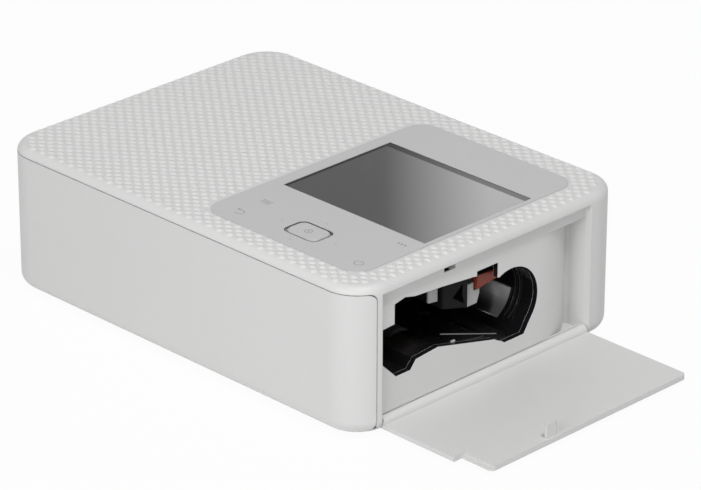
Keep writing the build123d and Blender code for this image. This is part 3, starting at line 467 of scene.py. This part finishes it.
def makeTopDots():
    mesh = bmesh.new()
    bmesh.ops.create_circle(mesh, cap_ends=True, segments=8, radius=1.0)
    height = dots["top"] - dots["base"]
    for vert in mesh.verts:  # the diagonal corners are drawn in, to a soft lozenge
        inset = dots["diagonal"] if abs(vert.co.x * vert.co.y) > 0.2 else 1
        vert.co = (vert.co.x * dots["halfX"] * inset, vert.co.y * dots["halfY"] * inset, dots["base"])
    crown = mesh.faces[:]
    for spread, rise in dots["profile"]:
        crown = bmesh.ops.extrude_discrete_faces(mesh, faces=crown)["faces"]
        crown = [max(crown, key=lambda face: len(face.verts))]
        ring = list(crown[0].verts)
        bmesh.ops.scale(mesh, vec=(spread, spread, 1), verts=ring)
        for vert in ring:
            vert.co.z = dots["base"] + height * rise
    seed = bpy.data.meshes.new("dotSeed")
    mesh.to_mesh(seed)
    mesh.free()
    field = bmesh.new()
    count = 0
    for column in range(-dots["columns"], dots["columns"] + 1):
        for row in range(-dots["rows"], dots["rows"] + 1):
            if (column + row) % 2:
                continue
            x, y = column * dots["pitchX"], row * dots["pitchY"]
            if not insideRounded(x, y, -dots["edgeX"], dots["edgeX"], -dots["edgeY"], dots["edgeY"],
                                 dots["cornerRadius"]):
                continue
            if insideRounded(x, y, *dots["clear"], dots["clearRadius"]):
                continue
            first = len(field.verts)
            field.from_mesh(seed)
            field.verts.ensure_lookup_table()
            bmesh.ops.translate(field, vec=(x, y, 0), verts=field.verts[first:])
            count += 1
    bpy.data.meshes.remove(seed)
    for vert in field.verts:  # the outer dots follow the rounded edge
        vert.co.x = min(max(vert.co.x, -dots["mostX"]), dots["mostX"])
        vert.co.y = min(max(vert.co.y, -dots["mostY"]), dots["mostY"])
        vert.co.z -= edgeDrop(vert.co.x, vert.co.y)
    finishPiece(field, "top_dots", "printer_body", dotHighlightFinish, smooth=True)
    print("top dots:", count)


makeTopDots()


# smooth film over the control panel, with its window and the hole for the OK key

film = {
    "low": (3.4 * mm, -55.8 * mm), "high": (80.2 * mm, 53.8 * mm), "radius": 8.0 * mm,
    "base": 57.2 * mm, "top": 57.46 * mm, "gap": 0.03 * mm, "keyRadius": 3.1 * mm,
}


def addLoop(mesh, low, high, radius):  # the edge of a rectangle, with rounded corners if it has a radius
    middle = Matrix.Translation(((low[0] + high[0]) / 2, (low[1] + high[1]) / 2, 0))
    size = Matrix.Diagonal((high[0] - low[0], high[1] - low[1], 1, 1))
    made = bmesh.ops.create_grid(mesh, x_segments=1, y_segments=1, size=0.5, matrix=middle @ size)
    corners = made["verts"]
    face = corners[0].link_faces[0]
    bmesh.ops.delete(mesh, geom=[face], context="FACES_ONLY")
    if radius:
        bmesh.ops.bevel(mesh, geom=corners, offset=radius, offset_type="OFFSET", affect="VERTICES",
                        segments=8, profile=0.5, material=-1)


def makePanelFilm():
    mesh = bmesh.new()
    addLoop(mesh, film["low"], film["high"], film["radius"])
    for node, radius in (("display_window", 0), ("ok_key", film["keyRadius"])):
        low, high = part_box(node)
        hole = film["gap"]
        addLoop(mesh, (low.x - hole, low.y - hole), (high.x + hole, high.y + hole), radius)
    bmesh.ops.triangle_fill(mesh, use_beauty=True, use_dissolve=False, edges=mesh.edges[:])
    bmesh.ops.translate(mesh, vec=(0, 0, film["top"]), verts=mesh.verts)
    extrudeAll(mesh, mesh.faces[:], (0, 0, film["base"] - film["top"]))
    piece = finishPiece(mesh, "panel_film", "printer_body", finishes["panel_film"])
    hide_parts("control_panel")


makePanelFilm()


# faint generic marks printed on the panel film and on the OK key

marks = {  # places in mm
    "ink": (0.30, 0.30, 0.305), "roughness": 0.5, "fineness": 6000, "waviness": 900,
    "thick": 0.02 * mm, "line": 0.32 * mm,
    "menu": (15.6, -36.0), "menuBar": 4.6, "menuStep": 1.0,
    "back": (15.4, -48.4), "backRadius": 1.5,
    "power": (73.6, -48.4), "powerRadius": 1.7, "powerBar": 2.0,
    "layout": (73.4, -27.5), "layoutSquare": 0.9, "layoutStep": 1.5,
    "pointers": ((43.55, -33.9, 0), (43.55, -51.7, 180), (30.3, -42.8, 90), (56.8, -42.8, -90)),
    "pointerSize": 0.42,
    "keyRing": 1.35, "keyDot": 0.4,
}


def makeMarkInk():
    material, tree, shader = startMaterial("mark_ink")
    grain = useGroup(tree, mouldGrain, Fineness=marks["fineness"], Waviness=marks["waviness"])
    colour = blendColours(tree, grain.outputs["Tone"], shade(marks["ink"], 0.92), shade(marks["ink"], 1.1))
    tree.links.new(colour, shader.inputs["Base Color"])
    shader.inputs["Roughness"].default_value = marks["roughness"]
    return material


markInk = makeMarkInk()


def turnedAt(x, y, angle):
    return Matrix.Translation((x * mm, y * mm, 0)) @ Matrix.Rotation(math.radians(angle), 4, "Z")


def bar(mesh, x, y, length, width):
    bmesh.ops.create_grid(mesh, x_segments=1, y_segments=1, size=0.5,
                          matrix=turnedAt(x, y, 0) @ Matrix.Diagonal((length, width, 1, 1)))


def pointer(mesh, x, y, size, angle):
    bmesh.ops.create_circle(mesh, cap_ends=True, segments=3, radius=size * mm, matrix=turnedAt(x, y, angle))


def arc(mesh, x, y, radius, start, sweep):
    turn, centre = math.radians(start), Vector((x * mm, y * mm, 0))
    outwards = Vector((math.cos(turn), math.sin(turn), 0))
    ends = [mesh.verts.new(centre + outwards * (radius * mm + side * marks["line"] / 2)) for side in (-1, 1)]
    bmesh.ops.spin(mesh, geom=[*ends, mesh.edges.new(ends)], cent=centre, axis=(0, 0, 1),
                   angle=math.radians(sweep), steps=max(6, int(abs(sweep) / 12)),
                   use_merge=abs(sweep) >= 360, use_duplicate=False)


def printMarks(mesh, name, body, height):
    for face in mesh.faces:
        if face.normal.z < 0:
            face.normal_flip()
    bmesh.ops.translate(mesh, vec=(0, 0, height), verts=mesh.verts)
    bmesh.ops.solidify(mesh, geom=mesh.faces[:], thickness=-marks["thick"])
    finishPiece(mesh, name, body, markInk)


def makePanelMarks():
    mesh = bmesh.new()
    line = marks["line"]
    x, y = marks["menu"]  # three bars
    for step in (-1, 0, 1):
        bar(mesh, x, y + step * marks["menuStep"], marks["menuBar"] * mm, line)
    x, y = marks["back"]  # an arrow that turns back
    radius = marks["backRadius"]
    arc(mesh, x, y, radius, -90, 180)
    bar(mesh, x - 1.0, y + radius, 2.0 * mm, line)
    bar(mesh, x - 0.6, y - radius, 1.2 * mm, line)
    pointer(mesh, x - 2.2, y + radius, 0.8, 90)
    x, y = marks["power"]  # an open ring with a bar
    arc(mesh, x, y, marks["powerRadius"], 125, 290)
    bar(mesh, x, y + 1.2, line, marks["powerBar"] * mm)
    x, y = marks["layout"]  # small squares in a row
    square = marks["layoutSquare"] * mm
    for step in (-1, 0, 1):
        bar(mesh, x + step * marks["layoutStep"], y, square, square)
    for x, y, angle in marks["pointers"]:
        pointer(mesh, x, y, marks["pointerSize"], angle)
    printMarks(mesh, "panel_marks", "printer_body", film["top"])


def makeKeyMark():  # a ring with a dot in it
    mesh = bmesh.new()
    low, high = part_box("ok_key")
    x, y = (low.x + high.x) / 2 / mm, (low.y + high.y) / 2 / mm
    arc(mesh, x, y, marks["keyRing"], 0, 360)
    bmesh.ops.create_circle(mesh, cap_ends=True, segments=16, radius=marks["keyDot"] * mm,
                            matrix=turnedAt(x, y, 0))
    printMarks(mesh, "ok_key_mark", "ok_key", high.z)


makePanelMarks()
makeKeyMark()
print("panel marks made")


# what shows inside the ink bay

bay = {  # in mm: outlines in Y and Z, and how far each reaches along X
    "block": ((-19.2, 33.9), (-6.7, 30.4), (-6.7, 43.2), (-19.2, 43.2)),
    "blockX": (71.5, 85.0), "blockBevel": 0.5,
    "arrow": ((-9.4, 40.4), (-14.3, 36.6), (-8.6, 32.8), (-9.6, 36.6)), "arrowX": (84.92, 85.08),
    "leftTab": ((-25.0, 37.8), (-20.6, 37.2), (-20.6, 43.0), (-25.0, 43.0)),
    "rightTab": ((-6.5, 30.0), (-1.0, 30.0), (0.3, 33.6), (0.2, 35.2), (-2.7, 35.2), (-2.7, 38.4),
                 (-6.5, 38.4)),
    "tabX": (83.0, 83.8),
    "ridge": ((-17.7, 23.35), (10.6, 13.85), (10.6, 13.6), (-17.7, 23.1)), "ridgeX": (82.4, 82.7),
    "clip": ((-15.7, 20.4), (-13.9, 20.4), (-13.9, 21.0), (-15.7, 21.0)), "clipX": (85.5, 86.1),
    "grip": ((-2.3, 35.8), (2.6, 36.6), (8.0, 37.2), (8.0, 40.6), (-2.3, 41.4)), "gripX": (82.2, 85.2),
    "stem": ((1.0, 40.2), (5.0, 40.2), (5.0, 47.5), (1.0, 47.5)), "stemX": (81.2, 83.4),
    "leverBevel": 0.4,
    # painted shade: black plates above the lock lever and in the mouth's upper corner, where the bay lies in
    # shadow
    "notchPaintedShade": ((-5.9, 41.7), (4.5, 41.7), (4.5, 45.3), (-5.9, 45.3)),
    "cornerPaintedShade": ((-47.0, 43.0), (-33.0, 43.0), (-33.0, 48.2), (-47.0, 48.2)), "paintedShadeX": (85.3, 85.5),
    "sill": ((-54.0, 6.40), (49.0, 6.40), (49.0, 6.66), (-54.0, 6.66)), "sillX": (87.6, 88.25),
    "lobeCentre": (11.5, 27.0), "wallThickness": 0.5,
    "guideRadius": 13.7, "guideX": (42.0, 76.0), "guideTurn": (-62, -10),  # turns in degrees
    "rimRadius": 13.75, "rims": (77.6, 79.8), "rimWidth": 0.5, "rimTurn": (-56, 70),
}


def makeSlabs(name, body, slotName, outlines, finish=None, bevel=0):  # outlines carried along X
    mesh = bmesh.new()
    for outline, span in outlines:
        low, high = bay[span]
        face = mesh.faces.new([mesh.verts.new((low * mm, y * mm, z * mm)) for y, z in bay[outline]])
        extrudeAll(mesh, [face], ((high - low) * mm, 0, 0))
    if bevel:
        bmesh.ops.recalc_face_normals(mesh, faces=mesh.faces)
        bmesh.ops.bevel(mesh, geom=mesh.edges[:], offset=bevel * mm, offset_type="OFFSET", affect="EDGES",
                        segments=3, profile=0.5, material=-1)
    return finishPiece(mesh, name, body, finish or finishes[slotName])


def addLobeWall(mesh, radius, spanX, turn):  # part of a tube about the rear lobe of the bay
    y, z = bay["lobeCentre"]
    first, sweep = math.radians(turn[0]), math.radians(turn[1] - turn[0])
    ends = [mesh.verts.new((x * mm, (y + radius * math.cos(first)) * mm, (z + radius * math.sin(first)) * mm))
            for x in spanX]
    before = len(mesh.faces)
    bmesh.ops.spin(mesh, geom=[*ends, mesh.edges.new(ends)], cent=(0, y * mm, z * mm), axis=(1, 0, 0),
                   angle=sweep, steps=18, use_merge=False, use_duplicate=False)
    mesh.faces.ensure_lookup_table()
    wall = mesh.faces[before:]
    bmesh.ops.recalc_face_normals(mesh, faces=wall)
    bmesh.ops.solidify(mesh, geom=wall, thickness=bay["wallThickness"] * mm)


def makeLobe():
    mesh = bmesh.new()
    addLobeWall(mesh, bay["guideRadius"], bay["guideX"], bay["guideTurn"])
    finishPiece(mesh, "lobe_guide", "printer_body", guidePaintedShadeFinish, smooth=True)
    mesh = bmesh.new()
    for x in bay["rims"]:
        addLobeWall(mesh, bay["rimRadius"], (x, x + bay["rimWidth"]), bay["rimTurn"])
    finishPiece(mesh, "lobe_rims", "printer_body", finishes["bay_black"])


block = makeSlabs("head_end_block", "print_head", "dark_plastic", [("block", "blockX")],
                  bevel=bay["blockBevel"])
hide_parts("head_end_cover")
makeSlabs("head_end_arrow", "print_head", "bay_black", [("arrow", "arrowX")], blackAndPaintedShadeFinish)
makeSlabs("head_side_tabs", "print_head", "spindle_plastic", [("leftTab", "tabX"), ("rightTab", "tabX")])
lever = makeSlabs("lever_grip", "lock_lever", "lever_brown", [("grip", "gripX"), ("stem", "stemX")],
                  bevel=bay["leverBevel"])
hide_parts("lock_lever")
makeLobe()
# painted highlight: a pale grey ridge stands for the thin light line along the bay floor
makeSlabs("channel_ridge_painted_highlight", "printer_body", "spindle_plastic", [("ridge", "ridgeX")])
makeSlabs("liner_clip", "printer_body", "inner_white", [("clip", "clipX")])
# painted shade: black plates where the notch above the lever and the mouth's upper corner lie in shadow
makeSlabs("mouth_painted_shade_plates", "printer_body", "bay_black", [("notchPaintedShade", "paintedShadeX"), ("cornerPaintedShade", "paintedShadeX")],
          blackAndPaintedShadeFinish)
makeSlabs("hinge_sill", "printer_body", "white_shell", [("sill", "sillX")])
print("bay details made")


# floor, world and lamps

studio = {
    "floorSize": 3.0, "floorColour": (0.80, 0.80, 0.80), "floorRoughness": 0.9, "floorWhite": 0.955,
    "skyStrength": 0.34,
    "cardAbove": (0.0437, 0.0052, 0.0574), "cardDistance": 1.5, "cardSize": (0.26, 0.20),
    "cardLow": 0.43, "cardHigh": 2.10, "cardSpan": (0.02, 0.31),
    "lampAim": (0, 0, 0.03),
    "lamps": (  # place, size and watts
        ("keyLamp", (0.9, -0.2, 2.0), 0.6, 17.0),
        ("frontLamp", (0.35, -0.85, 0.35), 0.5, 3.3),
    ),
}


def seenDirectly(tree):  # 1 for rays from the camera, and for mirrored and transmitted ones
    path = addNode(tree, "LightPath")
    mirrored = mathNode(tree, "MAXIMUM", path.outputs["Is Glossy Ray"], path.outputs["Is Transmission Ray"])
    return mathNode(tree, "MAXIMUM", path.outputs["Is Camera Ray"], mirrored)


def mixShaders(tree, mask, first, second, output):
    mixer = addNode(tree, "MixShader")
    for index, socket in enumerate((mask, first.outputs[0], second.outputs[0])):
        tree.links.new(socket, mixer.inputs[index])
    tree.links.new(mixer.outputs[0], tree.nodes[output].inputs["Surface"])


def addSheet(name, material, size):
    mesh = bmesh.new()
    bmesh.ops.create_grid(mesh, x_segments=1, y_segments=1, size=size)
    data = bpy.data.meshes.new(name)
    mesh.to_mesh(data)
    mesh.free()
    data.materials.append(material)
    sheet = bpy.data.objects.new(name, data)
    scene.collection.objects.link(sheet)
    return sheet


def makeFloor():
    material, tree, shader = startMaterial("floor_paper")
    shader.inputs["Base Color"].default_value = (*studio["floorColour"], 1)
    shader.inputs["Roughness"].default_value = studio["floorRoughness"]
    shader.inputs["Specular IOR Level"].default_value = 0.0
    glow = addNode(tree, "Emission", Strength=1.0)
    mask = mathNode(tree, "MULTIPLY", seenDirectly(tree), studio["floorWhite"])
    mixShaders(tree, mask, shader, glow, "Material Output")
    addSheet("floor", material, studio["floorSize"])


def makeWorld():
    world = bpy.data.worlds.new("studio")
    scene.world = world
    world.use_nodes = True
    tree = world.node_tree
    plain = tree.nodes["Background"]
    plain.inputs["Color"].default_value = (1, 1, 1, 1)
    plain.inputs["Strength"].default_value = studio["skyStrength"]
    white = addNode(tree, "Background", Color=(1, 1, 1, 1), Strength=1.0)
    mixShaders(tree, seenDirectly(tree), plain, white, "World Output")


def makeLamps():
    for name, place, size, power in studio["lamps"]:
        light = bpy.data.lights.new(name, "AREA")
        light.shape = "DISK"
        light.size = size
        light.energy = power
        lamp = bpy.data.objects.new(name, light)
        aim = Vector(studio["lampAim"]) - Vector(place)
        lamp.matrix_world = Matrix.Translation(place) @ aim.to_track_quat("-Z", "Y").to_matrix().to_4x4()
        scene.collection.objects.link(lamp)


def makeReflectionCard():  # a soft graded panel, seen only mirrored in the display
    material, tree, shader = startMaterial("graded_card")
    tree.nodes.remove(shader)
    place = addNode(tree, "TexCoord")
    split = addNode(tree, "SeparateXYZ")
    joinNodes(tree, place, "Object", split, 0)
    ramp = addNode(tree, "MapRange", From_Min=studio["cardSpan"][0], From_Max=studio["cardSpan"][1],
                   To_Min=studio["cardLow"], To_Max=studio["cardHigh"])
    joinNodes(tree, split, "X", ramp, "Value")
    glow = addNode(tree, "Emission")
    joinNodes(tree, ramp, "Result", glow, "Strength")
    tree.links.new(glow.outputs[0], tree.nodes["Material Output"].inputs["Surface"])
    card = addSheet("graded_card", material, 0.5)
    right, up, back = viewAxes(math.radians(view["azimuth"]), math.radians(view["elevation"]))
    mirrored = Vector((-back.x, -back.y, back.z))
    turn = Matrix((right, mirrored.cross(right), mirrored)).transposed().to_4x4()
    centre = Vector(studio["cardAbove"]) + mirrored * studio["cardDistance"]
    card.matrix_world = Matrix.Translation(centre) @ turn @ Matrix.Diagonal((*studio["cardSize"], 1, 1))
    card.visible_camera = False
    card.visible_diffuse = False
    card.visible_shadow = False


makeFloor()
makeWorld()
makeLamps()
makeReflectionCard()
print("studio ready")
